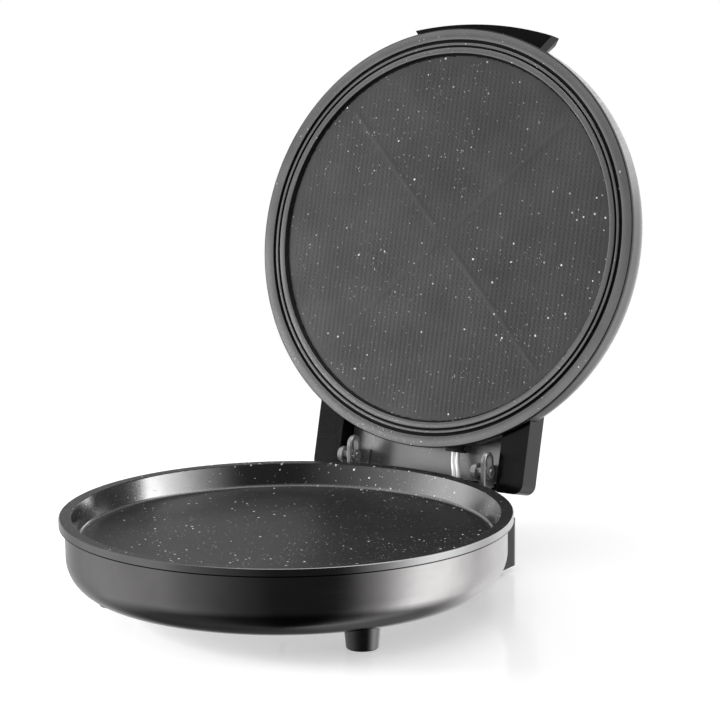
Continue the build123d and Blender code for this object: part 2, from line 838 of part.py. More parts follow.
bevel_foot = handle_outline(handle_low + handle_edge, 0)
bevel_top = handle_outline(handle_high, handle_bevel)
with BuildPart() as handle:
    extrude(handle_outline(handle_low, 0), amount=handle_edge, dir=lid_frame.z_dir)
    loft([bevel_foot.face(), bevel_top.face()], ruled=True)
    fillet(handle.faces().sort_by(axis_of(lid_frame))[-1].edges(), handle_round)
    add(lid_clearance, mode=Mode.SUBTRACT)
    with BuildSketch(lid_frame.offset(handle_screw_base)):
        with Locations(*handle_screw_spots):
            Circle(small_shank + screw_gap)
    extrude(amount=handle_screw_length, mode=Mode.SUBTRACT)
    with BuildSketch(lid_frame.offset(handle_high)):
        with Locations(*lens_spots):
            Circle(lens_radius + hole_gap)
    extrude(amount=-lens_seat_depth, mode=Mode.SUBTRACT)
finish(handle.part, "lid_handle")
for name, (x, y) in zip(("power_lamp_lens", "heat_lamp_lens"), lens_spots):
    with BuildPart() as lens:
        with BuildSketch(placed(lid_frame, x, y, handle_high - lens_seat_depth)):
            Circle(lens_radius)
        extrude(amount=lens_seat_depth + lens_rise)
        fillet(lens.edges().group_by(axis_of(lid_frame))[-1], lens_rise)
    finish(lens.part, name)
finish(
    slotted_screws(
        lid_frame.offset(handle_screw_base),
        handle_screw_spots,
        small_shank,
        handle_screw_length,
        small_head,
        small_head_height,
    ),
    "handle_screws",
)

# Hinge housing: two arms and a web behind the lid, with a tongue over the back of the shell
with BuildPart() as housing:
    with BuildSketch(lid_frame.offset(arm_low)):
        with Locations((0, arm_end)):
            Rectangle(2 * arm_outer_x, arm_end - tongue_start, align=(Align.CENTER, Align.MAX))
    extrude(amount=arm_high - arm_low)
    with BuildSketch(lid_frame.offset(arm_low)):
        with Locations((0, arm_end)):
            Rectangle(2 * arm_inner_x, arm_end - tongue_start, align=(Align.CENTER, Align.MAX))
    extrude(amount=web_low - arm_low, mode=Mode.SUBTRACT)
    with BuildSketch(lid_frame.offset(web_low)):
        with Locations((0, arm_end)):
            Rectangle(2 * arm_inner_x, arm_end - web_end, align=(Align.CENTER, Align.MAX))
    extrude(amount=arm_high - web_low, mode=Mode.SUBTRACT)
    upright = housing.edges().filter_by(axis_of(lid_frame))
    arm_ends = upright.group_by(Axis(lid_frame.origin, lid_frame.y_dir))[-1].sort_by(Axis.X)
    fillet([arm_ends[0], arm_ends[-1]], arm_corner)
    fillet(arm_ends[1:-1], arm_inner_corner)
    with BuildSketch(lid_frame.offset(web_low)):
        with Locations((0, tongue_end)):
            Rectangle(2 * tongue_half_width, tongue_end - tongue_start, align=(Align.CENTER, Align.MAX))
    extrude(amount=tongue_high - web_low)
    tongue_rim = housing.edges().group_by(axis_of(lid_frame))[-1]
    fillet(tongue_rim, tongue_round)
    add(lid_clearance, mode=Mode.SUBTRACT)
    with BuildSketch(lid_frame.offset(housing_screw_base)):
        with Locations(*housing_screw_spots):
            Circle(small_shank + screw_gap)
    extrude(amount=housing_screw_length, mode=Mode.SUBTRACT)
finish(housing.part, "lid_hinge_housing")
finish(
    slotted_screws(
        lid_frame.offset(housing_screw_base),
        housing_screw_spots,
        small_shank,
        housing_screw_length,
        small_head,
        small_head_height,
    ),
    "hinge_housing_screws",
)

# Back panel: the plate in the recess between the arms, which carries the two knuckles
panel_low = web_low - panel_thickness
with BuildPart() as panel:
    with BuildSketch(lid_frame.offset(panel_low)):
        with Locations((0, panel_end)):
            Rectangle(2 * panel_half_width, panel_end - tongue_start, align=(Align.CENTER, Align.MAX))
    extrude(amount=panel_thickness)
    add(lid_clearance, mode=Mode.SUBTRACT)
finish(panel.part, "hinge_back_panel")

# Knuckles: steel brackets on the back panel that turn on the pins, each to the left of its post
pivot_height = hinge_z - rim_height - lid_gap
for name, x, inward in zip(("lid_knuckle_left", "lid_knuckle_right"), post_spots, (1, -1)):
    middle = x - knuckle_offset
    with BuildPart() as knuckle:
        with BuildSketch(side_on(lid_frame, middle - knuckle_thickness / 2)):
            with Locations((hinge_y, pivot_height)):
                Rectangle(2 * knuckle_radius, panel_low - pivot_height, align=(Align.CENTER, Align.MIN))
                Circle(knuckle_radius)
                Circle(pin_radius + running_gap, mode=Mode.SUBTRACT)
        extrude(amount=knuckle_thickness)
        with BuildSketch(lid_frame.offset(panel_low)):
            with Locations((middle + inward * knuckle_foot_width / 2, hinge_y)):
                Rectangle(knuckle_foot_width, 2 * knuckle_radius)
        extrude(amount=-knuckle_foot_thickness)
    finish(knuckle.part, name)


# Heating stacks behind the pan and behind the lid plate
def heating_element(frame, leg_end):
    """A sheathed heater: nearly a full ring, with two legs that turn out towards the hinge."""
    bend_x = element_leg_half_gap + element_bend
    bend_y = ((element_ring_radius + element_bend) ** 2 - bend_x**2) ** 0.5
    bend_turn = degrees(atan2(bend_y, bend_x))
    ring_share = element_ring_radius / (element_ring_radius + element_bend)
    with BuildPart() as element:
        with BuildLine(frame.offset(element_gap + element_radius)) as route:
            Line((element_leg_half_gap, leg_end), (element_leg_half_gap, bend_y))
            CenterArc((bend_x, bend_y), element_bend, 180, bend_turn)
            ThreePointArc(
                (bend_x * ring_share, bend_y * ring_share),
                (0, -element_ring_radius),
                (-bend_x * ring_share, bend_y * ring_share),
            )
            CenterArc((-bend_x, bend_y), element_bend, 0, -bend_turn)
            Line((-element_leg_half_gap, bend_y), (-element_leg_half_gap, leg_end))
        heater_line = route.wire()
        with BuildSketch(Plane(origin=heater_line @ 0, z_dir=heater_line % 0)):
            Circle(element_radius)
        sweep(path=heater_line)
    return element.part


def reflector(frame):
    """A shallow sheet tray over the element, with its rim against the plate's back."""
    depth = element_space + reflector_sheet
    with BuildPart() as tray:
        with BuildSketch(frame):
            Circle(reflector_radius)
        extrude(amount=depth)
        with BuildSketch(frame):
            Circle(reflector_radius - reflector_sheet)
        extrude(amount=element_space, mode=Mode.SUBTRACT)
        with BuildSketch(frame):
            Circle(sensor_hole_radius)
            with Locations(*stack_spots):
                Circle(stack_post_radius + stack_hole_gap)
            with Locations((0, reflector_radius)):
                Rectangle(2 * (element_leg_half_gap + 2 * element_radius), 4 * reflector_sheet)
        extrude(amount=element_space, mode=Mode.SUBTRACT)
        with BuildSketch(frame.offset(element_space)):
            Circle(sensor_hole_radius)
            with Locations(*stack_spots):
                Circle(stack_post_radius + stack_hole_gap)
        extrude(amount=reflector_sheet, mode=Mode.SUBTRACT)
    return tray.part


def insulation(frame):
    with BuildPart() as pad:
        with BuildSketch(frame.offset(element_space + reflector_sheet)):
            Circle(insulation_radius)
            Circle(sensor_hole_radius, mode=Mode.SUBTRACT)
            with Locations(*stack_spots):
                Circle(stack_post_radius + stack_hole_gap, mode=Mode.SUBTRACT)
        extrude(amount=insulation_thickness)
    return pad.part


def thermostat(frame):
    """A disc thermostat on the plate's back, with its two blades."""
    with BuildPart() as sensor:
        with BuildSketch(frame):
            Circle(thermostat_flange_radius)
        extrude(amount=thermostat_flange_thickness)
        with BuildSketch(frame):
            Circle(thermostat_radius)
        extrude(amount=thermostat_height)
        with BuildSketch(frame.offset(thermostat_height)):
            with GridLocations(thermostat_radius, 0, 2, 1):
                Rectangle(thermostat_blade_thickness, thermostat_blade_width)
        extrude(amount=thermostat_blade_height)
    return sensor.part


def thermal_fuse(frame):
    with BuildPart() as fuse:
        with BuildSketch(across(frame, fuse_x, -fuse_length / 2, fuse_radius + element_gap)):
            Circle(fuse_radius)
        extrude(amount=fuse_length)
    return fuse.part


def terminal_block(frame, near, depth, length, height):
    """A ceramic block on the frame, with its near face at y = near."""
    with BuildPart() as block:
        with BuildSketch(frame):
            with Locations((0, near)):
                Rectangle(length, depth, align=(Align.CENTER, Align.MIN))
        extrude(amount=height)
        fillet(block.edges().group_by(axis_of(frame))[-1], terminal_edge)
    return block.part


stacks = (
    ("lower", lower_stack_frame, lower_leg_end, 0.0),
    ("upper", upper_stack_frame, upper_leg_end, lid_lead_x),
)
for side, frame, leg_end, lead_x in stacks:
    finish(heating_element(frame, leg_end), f"{side}_heating_element")
    finish(reflector(frame), f"{side}_reflector")
    finish(insulation(frame), f"{side}_insulation")
    finish(thermostat(frame), f"{side}_thermostat")
    finish(thermal_fuse(frame), f"{side}_thermal_fuse")
    finish(
        terminal_block(
            placed(frame, lead_x / 2, 0, 0),
            leg_end,
            terminal_depth,
            terminal_length + lead_x,
            terminal_height,
        ),
        f"{side}_terminal_block",
    )
    stack_end = frame.offset(stack_height)
    finish(
        slotted_screws(
            Plane(origin=stack_end.origin, x_dir=stack_end.x_dir, z_dir=-stack_end.z_dir),
            [(x, -y) for x, y in stack_spots],
            small_shank,
            stack_screw_length,
            small_head,
            small_head_height,
            washer=washer_head_radius,
        ),
        f"{side}_stack_screws",
    )

# Leads: two sleeved wires from the junction block, up through the deck and into the lid
deck_grommet_frame = Plane(
    origin=(deck_lead_x, deck_lead_y, deck_top), x_dir=(1, 0, 0), z_dir=(0, 0, -1)
)
lid_grommet_frame = Plane(
    origin=lid_frame.from_local_coords((lid_lead_x, lid_grommet_outer, lid_lead_height)),
    x_dir=lid_frame.x_dir,
    z_dir=-lid_frame.y_dir,
)


def lead_grommet(frame, length):
    """A rubber bush with a bore for each lead, its flange seated at z = 0."""
    with BuildPart() as grommet:
        with BuildSketch(frame):
            Circle(grommet_flange_radius)
        extrude(amount=-grommet_flange_thickness)
        fillet(grommet.edges().group_by(axis_of(frame))[0], grommet_edge)
        with BuildSketch(frame):
            Circle(grommet_radius)
        extrude(amount=length)
        with BuildSketch(frame.offset(-grommet_flange_thickness)):
            with GridLocations(lead_pitch, 0, 2, 1):
                Circle(lead_radius + lead_bore_gap)
        extrude(amount=length + grommet_flange_thickness, mode=Mode.SUBTRACT)
    return grommet.part


finish(lead_grommet(deck_grommet_frame, deck_top - deck_grommet_foot), "deck_lead_grommet")
finish(lead_grommet(lid_grommet_frame, lid_grommet_outer - lid_grommet_inner), "lid_lead_grommet")
finish(
    terminal_block(
        Plane((deck_lead_x, deck_lead_y - junction_depth / 2, deck_grommet_foot - junction_height)),
        0,
        junction_depth,
        junction_length,
        junction_height,
    ),
    "rear_junction_block",
)


def lead_radii(points):
    """Tangent arcs that each take up a set share of the shorter run beside their corner."""
    radii = []
    for before, corner, after in zip(points, points[1:], points[2:]):
        turn = (corner - before).get_angle(after - corner)
        shorter = min((corner - before).length, (after - corner).length)
        radii.append(lead_bend_share * shorter / tan(radians(turn / 2)))
    return radii


for name, side in (("lid_lead_left", -1), ("lid_lead_right", 1)):
    deck_x = deck_lead_x + side * lead_pitch / 2
    lid_x = lid_lead_x + side * lead_pitch / 2
    points = [
        Vector(deck_x, deck_lead_y, deck_grommet_foot),
        Vector(deck_x, deck_lead_y, deck_top + deck_lead_rise),
        lid_frame.from_local_coords(Vector(lid_x, lid_lead_turn, lid_lead_height)),
        lid_frame.from_local_coords(Vector(lid_x, upper_leg_end + terminal_depth, lid_lead_height)),
    ]
    radii = lead_radii(points)
    with BuildPart() as lead:
        with BuildLine() as lead_route:
            FilletPolyline(*points, radius=radii)
        with BuildSketch(Plane(points[0])):
            Circle(lead_radius)
        sweep(path=lead_route.wire())
    finish(lead.part, name)
    route_length = lead_route.wire().length
    print(name, "radii", [round(radius, 1) for radius in radii], "length", round(route_length, 1))
    tube_volume = pi * lead_radius**2 * route_length
    print("volume over section by length", round(lead.part.volume / tube_volume, 4))

# The pieces go out with the origin on the worktop, under the middle of the whole object's box
whole = Compound(finished).bounding_box()
to_middle = Location((0, -(whole.min.Y + whole.max.Y) / 2, 0))
print("moved along Y by", round(to_middle.position.Y, 5))
for piece in finished:
    export_step(piece.moved(to_middle), f"parts/{piece.label}.step")
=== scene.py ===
import json
import math

import bmesh
import bpy
from mathutils import Matrix, Vector


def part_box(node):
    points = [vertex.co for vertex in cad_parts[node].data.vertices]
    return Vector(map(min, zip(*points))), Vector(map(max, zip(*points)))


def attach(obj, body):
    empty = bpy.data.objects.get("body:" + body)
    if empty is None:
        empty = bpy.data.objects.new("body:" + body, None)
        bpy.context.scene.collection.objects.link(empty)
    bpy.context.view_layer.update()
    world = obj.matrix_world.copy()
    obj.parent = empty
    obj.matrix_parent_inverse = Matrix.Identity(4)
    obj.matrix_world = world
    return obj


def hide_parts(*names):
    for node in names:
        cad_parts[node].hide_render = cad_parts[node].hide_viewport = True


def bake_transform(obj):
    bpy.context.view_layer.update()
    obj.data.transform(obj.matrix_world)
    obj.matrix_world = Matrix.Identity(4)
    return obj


# Electric pizza maker, standing open. Everything is in metres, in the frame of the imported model:
# +Z up, the handle at -Y, the hinge at +Y. The round base's middle is at y = BASE_Y.

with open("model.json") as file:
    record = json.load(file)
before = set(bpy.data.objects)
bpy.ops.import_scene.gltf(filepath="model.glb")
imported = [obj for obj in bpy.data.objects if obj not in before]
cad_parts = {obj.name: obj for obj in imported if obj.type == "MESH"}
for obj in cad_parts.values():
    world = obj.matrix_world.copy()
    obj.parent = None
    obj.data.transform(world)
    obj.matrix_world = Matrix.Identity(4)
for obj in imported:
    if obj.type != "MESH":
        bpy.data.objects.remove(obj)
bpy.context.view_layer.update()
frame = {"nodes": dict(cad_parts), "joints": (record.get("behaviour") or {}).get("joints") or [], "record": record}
nodes = frame["nodes"]

MM = 0.001

# Base: its middle and its rim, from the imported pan, and the rings of the pan's finish
pan_low, pan_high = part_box("pan")
BASE_Y = (pan_low.y + pan_high.y) / 2
RIM_HEIGHT = pan_high.z
RIM_RADIUS = (pan_high.x - pan_low.x) / 2
PAN_WALL_START = RIM_RADIUS - 15.5 * MM
PAN_WALL_END = RIM_RADIUS - 9.2 * MM
PAN_WALL_FADE = 1.5 * MM
PAN_LIP_START = RIM_RADIUS - 0.8 * MM
# Below this height the lip is painted near-black: painted shade for the gap under the lip
LIP_SHADE_TOP = RIM_HEIGHT - 5.1 * MM

# Lid: where it stands when open, from the hinge joint
lid_joint = [joint for joint in frame["joints"] if joint["name"] == "lid_hinge"][0]
HINGE = Vector(lid_joint["pos_m"])
OPENING = math.radians(lid_joint["range_deg"][1])
LID_GAP = 0.5 * MM
to_open = (
    Matrix.Translation(HINGE) @ Matrix.Rotation(-OPENING, 4, "X") @ Matrix.Translation(-HINGE)
)
# The lid's own frame: x to the right, y towards the hinge, z to the back of the lid
LID = to_open @ Matrix.Translation((0, BASE_Y, RIM_HEIGHT + LID_GAP))

# Lid plate: its flange, grooves and bead, from the rim inwards
FLANGE_THICKNESS = 3.0 * MM
FLANGE_WIDTH = 8.7 * MM
PLATE_BACK_INSET = 7.0 * MM
PLATE_BACK_DEPTH = 6.9 * MM
OUTER_GROOVE_WIDTH = 2.6 * MM
OUTER_GROOVE_DEPTH = 2.2 * MM
OUTER_GROOVE_DRAFT = 0.3 * MM
RIDGE_WIDTH = 2.0 * MM
INNER_GROOVE_WIDTH = 1.7 * MM
INNER_GROOVE_DEPTH = 1.8 * MM
INNER_GROOVE_DRAFT = 0.2 * MM
BEAD_WIDTH = 4.5 * MM
FLANGE_EDGE = 0.8 * MM
FACE_EDGE = 0.5 * MM
RIDGE_EDGE = 0.4 * MM
FOOT_EDGE = 0.3 * MM
flange_inner = RIM_RADIUS - FLANGE_WIDTH
ridge_outer = flange_inner - OUTER_GROOVE_WIDTH
ridge_inner = ridge_outer - RIDGE_WIDTH
bead_outer = ridge_inner - INNER_GROOVE_WIDTH
bead_inner = bead_outer - BEAD_WIDTH
# Painted shade: a black coating stands in for the shade in the grooves and down the sunken field's edge, starting
# a little way down their walls, and for the dark gap round the flange's outer edge
GROOVES_START = flange_inner + 0.7 * MM
PAINTED_SHADE_DEPTH = 0.3 * MM
EDGE_PAINTED_SHADE_START = 164.2 * MM
FLANGE_SEGMENTS = 256

# Lid plate: the sunken field with its pressed dimples and creases
FIELD_RADIUS = bead_inner - 0.8 * MM
FIELD_DEPTH = 4.0 * MM
FIELD_LAP = 1.2 * MM
FIELD_EDGE_GAP = 0.6 * MM
FIELD_LIFT = 0.02 * MM
DIMPLE_PITCH = 4.0 * MM
DIMPLE_DEPTH = 0.32 * MM
DIMPLES_END = FIELD_RADIUS - 3.7 * MM
DIMPLES_FADE = 4 * MM
CREASE_WIDTH = 2.2 * MM
CREASE_DEPTH = 0.35 * MM
CREASES_START = 6 * MM
CREASES_START_FADE = 8 * MM
CREASES_END = FIELD_RADIUS - 6.7 * MM
CREASES_END_FADE = 6 * MM
ROW_RATIO = math.sqrt(0.75)

# Leads: heights on the base's side, and places in the lid's own frame
LEAD_RADIUS = 1.6 * MM
LEAD_PITCH = 3.8 * MM
DECK_LEAD_X = 36.5 * MM
DECK_LEAD_Y = HINGE.y + 4.5 * MM
DECK_LEAD_START = 50 * MM
DECK_LEAD_BEND = 66.5 * MM
LID_LEAD_X = 30.0 * MM
LID_LEAD_HEIGHT = 12 * MM
LID_LEAD_BEND = 172 * MM
LID_LEAD_END = 153 * MM

# Camera: angles in degrees, the lens and sensor in millimetres, and a target that is given from the
# round base's middle
CAMERA_AZIMUTH = 32.206
CAMERA_ELEVATION = 10.584
CAMERA_ROLL = -0.408
CAMERA_TARGET = Vector((0.04585, 0.02887, 0.18086))
CAMERA_DISTANCE = 1.98664
CAMERA_REACH = 30
CAMERA_LENS = 138.13
SENSOR_WIDTH = 36

# Floor and light
FLOOR_HALF_SIZE = 1.4
FLOOR_FADE_START = 0.45
FLOOR_FADE_END = 0.8
FLOOR_GLOW = 0.43
STUDIO_STRENGTH = 5.4
SOFT_STRENGTH = 0.55
BACKDROP_STRENGTH = 1.0

# How light the studio's walls are, by their bearing in degrees from the camera's own side, with the
# walls to its right positive
STUDIO_WALLS = (
    (-180, 0.25),
    (-135, 0.16),
    (-114, 0.24),
    (-67, 0.19),
    (-49, 0.1),
    (-32, 0.05),
    (-7, 0.01),
    (27, 0.01),
    (34, 0.03),
    (42, 0.12),
    (51, 0.23),
    (60, 0.5),
    (70, 0.81),
    (80, 1.0),
    (92, 0.93),
    (104, 0.68),
    (117, 0.5),
    (135, 0.6),
    (180, 0.25),
)

# How light they are by height, from straight down (0) to straight up (1): a dark gap under the ceiling
STUDIO_HEIGHTS = (
    (0.12, 0.08),
    (0.24, 0.5),
    (0.53, 0.5),
    (0.585, 0.95),
    (0.62, 0.9),
    (0.636, 0.5),
    (0.65, 0.18),
    (0.668, 0.14),
    (0.682, 0.5),
    (1.0, 0.4),
)


def add_object(name, data):
    """Put a mesh, a curve, a lamp or a camera into the scene."""
    made = bpy.data.objects.new(name, data)
    bpy.context.scene.collection.objects.link(made)
    return made


# Camera
def aim_camera():
    """Add the camera, and return its level right and the direction from its target back to it."""
    azimuth = math.radians(CAMERA_AZIMUTH)
    elevation = math.radians(CAMERA_ELEVATION)
    roll = math.radians(CAMERA_ROLL)
    right = Vector((math.cos(azimuth), math.sin(azimuth), 0))
    back = Vector(
        (
            math.sin(azimuth) * math.cos(elevation),
            -math.cos(azimuth) * math.cos(elevation),
            math.sin(elevation),
        )
    )
    up = back.cross(right)
    turned_right = right * math.cos(roll) + up * math.sin(roll)
    turned_up = up * math.cos(roll) - right * math.sin(roll)
    turn = Matrix((turned_right, turned_up, back)).transposed().to_4x4()
    target = CAMERA_TARGET + Vector((0, BASE_Y, 0))
    camera = add_object("camera", bpy.data.cameras.new("camera"))
    camera.data.sensor_width = SENSOR_WIDTH
    camera.data.lens = CAMERA_LENS
    camera.data.clip_end = CAMERA_REACH
    camera.matrix_world = Matrix.Translation(target + back * CAMERA_DISTANCE) @ turn
    bpy.context.scene.camera = camera
    return right, back


view_right, view_back = aim_camera()


# Shader helpers
class Wiring:
    """A shader node tree under construction, and the coordinates that its textures follow."""

    def __init__(self, tree, coordinates):
        self.tree = tree
        self.place = self.node("ShaderNodeTexCoord").outputs[coordinates]

    def node(self, kind, **settings):
        made = self.tree.nodes.new(kind)
        for key, value in settings.items():
            setattr(made, key, value)
        return made

    def join(self, source, target):
        self.tree.links.new(source, target)

    def put(self, value, socket):
        """Set a socket to a number or a colour, or link a node's output to it."""
        if isinstance(value, (int, float)):
            socket.default_value = value
        elif isinstance(value, tuple):
            socket.default_value = (*value, 1)
        else:
            self.join(value, socket)

    def mapped(self, scale, shift=(0, 0, 0)):
        """The coordinates, scaled and then shifted."""
        mapping = self.node("ShaderNodeMapping")
        mapping.inputs["Scale"].default_value = scale
        mapping.inputs["Location"].default_value = shift
        self.join(self.place, mapping.inputs["Vector"])
        return mapping.outputs["Vector"]

    def noise(self, scale, detail, stretch=None):
        made = self.node("ShaderNodeTexNoise")
        made.inputs["Scale"].default_value = scale
        made.inputs["Detail"].default_value = detail
        self.join(self.mapped(stretch) if stretch else self.place, made.inputs["Vector"])
        return made.outputs["Fac"]

    def length(self, vector):
        made = self.node("ShaderNodeVectorMath", operation="LENGTH")
        self.join(vector, made.inputs[0])
        return made.outputs["Value"]

    def along(self, direction):
        """How far the coordinates reach in a direction."""
        made = self.node("ShaderNodeVectorMath", operation="DOT_PRODUCT")
        self.join(self.place, made.inputs[0])
        made.inputs[1].default_value = direction
        return made.outputs["Value"]

    def math(self, operation, *values, **settings):
        made = self.node("ShaderNodeMath", operation=operation, **settings)
        for value, socket in zip(values, made.inputs):
            self.put(value, socket)
        return made.outputs["Value"]

    def ramp(self, source, stops):
        """Map a factor through (position, grey or colour) stops."""
        made = self.node("ShaderNodeValToRGB")
        elements = made.color_ramp.elements
        while len(elements) < len(stops):
            elements.new(0.5)
        for element, (position, value) in zip(elements, stops):
            element.position = position
            element.color = (*value, 1) if isinstance(value, tuple) else (value, value, value, 1)
        self.join(source, made.inputs["Fac"])
        return made.outputs["Color"]

    def between(self, source, low, high, start=0.3, end=0.7):
        """Map the middle of a factor's range from one grey or colour to another."""
        return self.ramp(source, ((start, low), (end, high)))

    def blend(self, factor, first, second):
        """Mix two colours by a factor. A mix node's inputs 0, 6 and 7 are the factor and the colours."""
        made = self.node("ShaderNodeMix", data_type="RGBA")
        sockets = (made.inputs[0], made.inputs[6], made.inputs[7])
        for value, socket in zip((factor, first, second), sockets):
            self.put(value, socket)
        return made.outputs[2]

    def mix_shaders(self, factor, first, second):
        made = self.node("ShaderNodeMixShader")
        for source, socket in zip((factor, first, second), made.inputs):
            self.join(source, socket)
        return made.outputs[0]

    def background(self, strength):
        """White light all round, as strong as a number or a node's output says."""
        made = self.node("ShaderNodeBackground")
        made.inputs["Color"].default_value = (1, 1, 1, 1)
        self.put(strength, made.inputs["Strength"])
        return made.outputs[0]

    def bump(self, height, distance, strength):
        made = self.node("ShaderNodeBump")
        made.inputs["Strength"].default_value = strength
        made.inputs["Distance"].default_value = distance
        self.join(height, made.inputs["Height"])
        return made.outputs["Normal"]


class Recipe(Wiring):
    """A node material under construction."""

    def __init__(self, name):
        self.material = bpy.data.materials.new(name)
        self.material.use_nodes = True
        super().__init__(self.material.node_tree, "Object")
        self.shader = self.tree.nodes["Principled BSDF"]

    def feed(self, **sockets):
        """Set or link the shader's sockets, by their names with underscores for spaces."""
        for key, value in sockets.items():
            self.put(value, self.shader.inputs[key.replace("_", " ")])
        return self.material

    def specks(self, scale, share, size, patch_scale):
        """White specks: small discs in a share of a random cell pattern, thinned out in patches."""
        smallest = size * 0.45
        spread = size * 0.7
        dimmest = 0.35
        cells = self.node("ShaderNodeTexVoronoi", feature="F1")
        cells.inputs["Scale"].default_value = scale
        self.join(self.place, cells.inputs["Vector"])
        lottery = self.node("ShaderNodeSeparateColor")
        self.join(cells.outputs["Color"], lottery.inputs["Color"])
        clouds = self.noise(scale=patch_scale, detail=2.0)
        patches = self.between(clouds, 0.15, 1.0, start=0.38, end=0.68)
        chosen = self.math("LESS_THAN", lottery.outputs["Red"], self.math("MULTIPLY", patches, share))
        radius = self.math("MULTIPLY_ADD", lottery.outputs["Green"], spread, smallest)
        inside = self.math("LESS_THAN", cells.outputs["Distance"], radius)
        bright = self.math("MULTIPLY_ADD", lottery.outputs["Blue"], 1 - dimmest, dimmest)
        return self.math("MULTIPLY", self.math("MULTIPLY", chosen, inside), bright)


def grey(value):
    return (value, value, value)


# Coating: the small specks are fewer and fainter than the large ones
SPECK_GREY = 0.78
SMALL_SPECK_SHARE = 0.8
SMALL_SPECK_LIGHT = 0.7
# Painted shade at the foot of the pan's lip
LIP_SHADE_GREY = 0.03

# Sleeving: how fine its threads are
THREAD_SCALE = 420.0

# Metal: noise that is stretched this way makes level streaks
LEVEL_STREAKS = (1.0, 1.0, 26.0)


# Finishes. Their dark and light values are greys or colours.
def plain_finish(name, dark, light, rough, metal=0.0, scale=60.0, grain=900.0, depth=0.02 * MM, **more):
    """A finish with cloudy colour, uneven roughness and a fine grain."""
    recipe = Recipe(name)
    clouds = recipe.noise(scale=scale, detail=4.0)
    fine = recipe.noise(scale=grain, detail=2.0)
    return recipe.feed(
        Base_Color=recipe.between(clouds, dark, light),
        Roughness=recipe.between(clouds, rough * 0.88, rough * 1.14, start=0.25, end=0.75),
        Metallic=metal,
        Normal=recipe.bump(fine, distance=depth, strength=0.5),
        **more,
    )


def coated_finish(name, dark, light, rough, metal, speck_share, polish=None, **more):
    """Non-stick coating: dark satin, finely pebbled, with scattered white specks.

    A polish is a function that changes the look where the coating is polished or worn away.
    """
    recipe = Recipe(name)
    clouds = recipe.noise(scale=26.0, detail=5.0)
    fine = recipe.noise(scale=1400.0, detail=2.0)
    small_share = speck_share * SMALL_SPECK_SHARE
    large = recipe.specks(scale=210.0, share=speck_share, size=0.17, patch_scale=17.0)
    small = recipe.specks(scale=520.0, share=small_share, size=0.22, patch_scale=9.0)
    specks = recipe.math("MAXIMUM", large, recipe.math("MULTIPLY", small, SMALL_SPECK_LIGHT))
    look = {
        "Base_Color": recipe.blend(specks, recipe.between(clouds, dark, light), grey(SPECK_GREY)),
        "Roughness": recipe.between(fine, rough * 0.86, rough * 1.16),
        "Metallic": recipe.math("MULTIPLY_ADD", specks, -metal, metal),
    }
    if polish:
        look = polish(recipe, look, clouds, fine, specks)
    pebbles = recipe.bump(fine, distance=0.03 * MM, strength=0.45)
    return recipe.feed(Normal=pebbles, **look, **more)


def polish_pan(recipe, look, clouds, fine, specks):
    """The pan's look: polished between the specks on its wall, bare on its lip, with painted shade along the lip's
    lower edge.
    """
    reach = recipe.length(recipe.mapped((1, 1, 0), shift=(0, -BASE_Y, 0)))
    spot = recipe.node("ShaderNodeSeparateXYZ")
    recipe.join(recipe.place, spot.inputs[0])
    past_foot = recipe.math("SUBTRACT", reach, PAN_WALL_START)
    on_wall = recipe.math("MULTIPLY", past_foot, 1 / PAN_WALL_FADE, use_clamp=True)
    on_wall = recipe.math("MULTIPLY", on_wall, recipe.math("LESS_THAN", reach, PAN_WALL_END))
    on_wall = recipe.math("MULTIPLY", on_wall, recipe.math("SUBTRACT", 1.0, specks))
    on_lip = recipe.math("GREATER_THAN", reach, PAN_LIP_START)
    # Painted shade: the lip's lowest part, where the gap under it is in shadow
    in_lip_shade = recipe.math("LESS_THAN", spot.outputs["Z"], LIP_SHADE_TOP)
    bare = recipe.math("MAXIMUM", on_wall, on_lip)
    wall = recipe.between(clouds, 0.38, 0.46)
    lip = recipe.blend(in_lip_shade, recipe.between(clouds, 0.25, 0.3), grey(LIP_SHADE_GREY))
    return {
        "Base_Color": recipe.blend(bare, look["Base_Color"], recipe.blend(on_lip, wall, lip)),
        "Roughness": recipe.blend(bare, look["Roughness"], recipe.between(fine, 0.15, 0.2)),
        "Metallic": recipe.math("MAXIMUM", look["Metallic"], bare),
    }


def brushed_finish(name, dark, light, rough, stretch, metal=1.0):
    """Metal with streaks along one way of the surface."""
    recipe = Recipe(name)
    streaks = recipe.noise(scale=30.0, detail=6.0, stretch=stretch)
    clouds = recipe.noise(scale=35.0, detail=3.0)
    return recipe.feed(
        Base_Color=recipe.between(clouds, dark, light),
        Roughness=recipe.between(streaks, rough * 0.8, rough * 1.25),
        Metallic=metal,
        Normal=recipe.bump(streaks, distance=0.01 * MM, strength=0.35),
    )


def sleeve_finish(name):
    """White glass-fibre sleeving: two sets of crossing threads wound round the lead."""
    recipe = Recipe(name)
    windings = []
    for place in (recipe.place, recipe.mapped((-1.0, 1.0, 1.0))):
        wave = recipe.node("ShaderNodeTexWave", wave_type="BANDS", bands_direction="DIAGONAL")
        wave.inputs["Scale"].default_value = THREAD_SCALE
        recipe.join(place, wave.inputs["Vector"])
        windings.append(wave.outputs["Fac"])
    threads = recipe.math("MAXIMUM", *windings)
    return recipe.feed(
        Base_Color=recipe.between(threads, 0.8, 0.95, start=0.2, end=0.9),
        Roughness=0.62,
        Normal=recipe.bump(threads, distance=0.08 * MM, strength=0.6),
    )


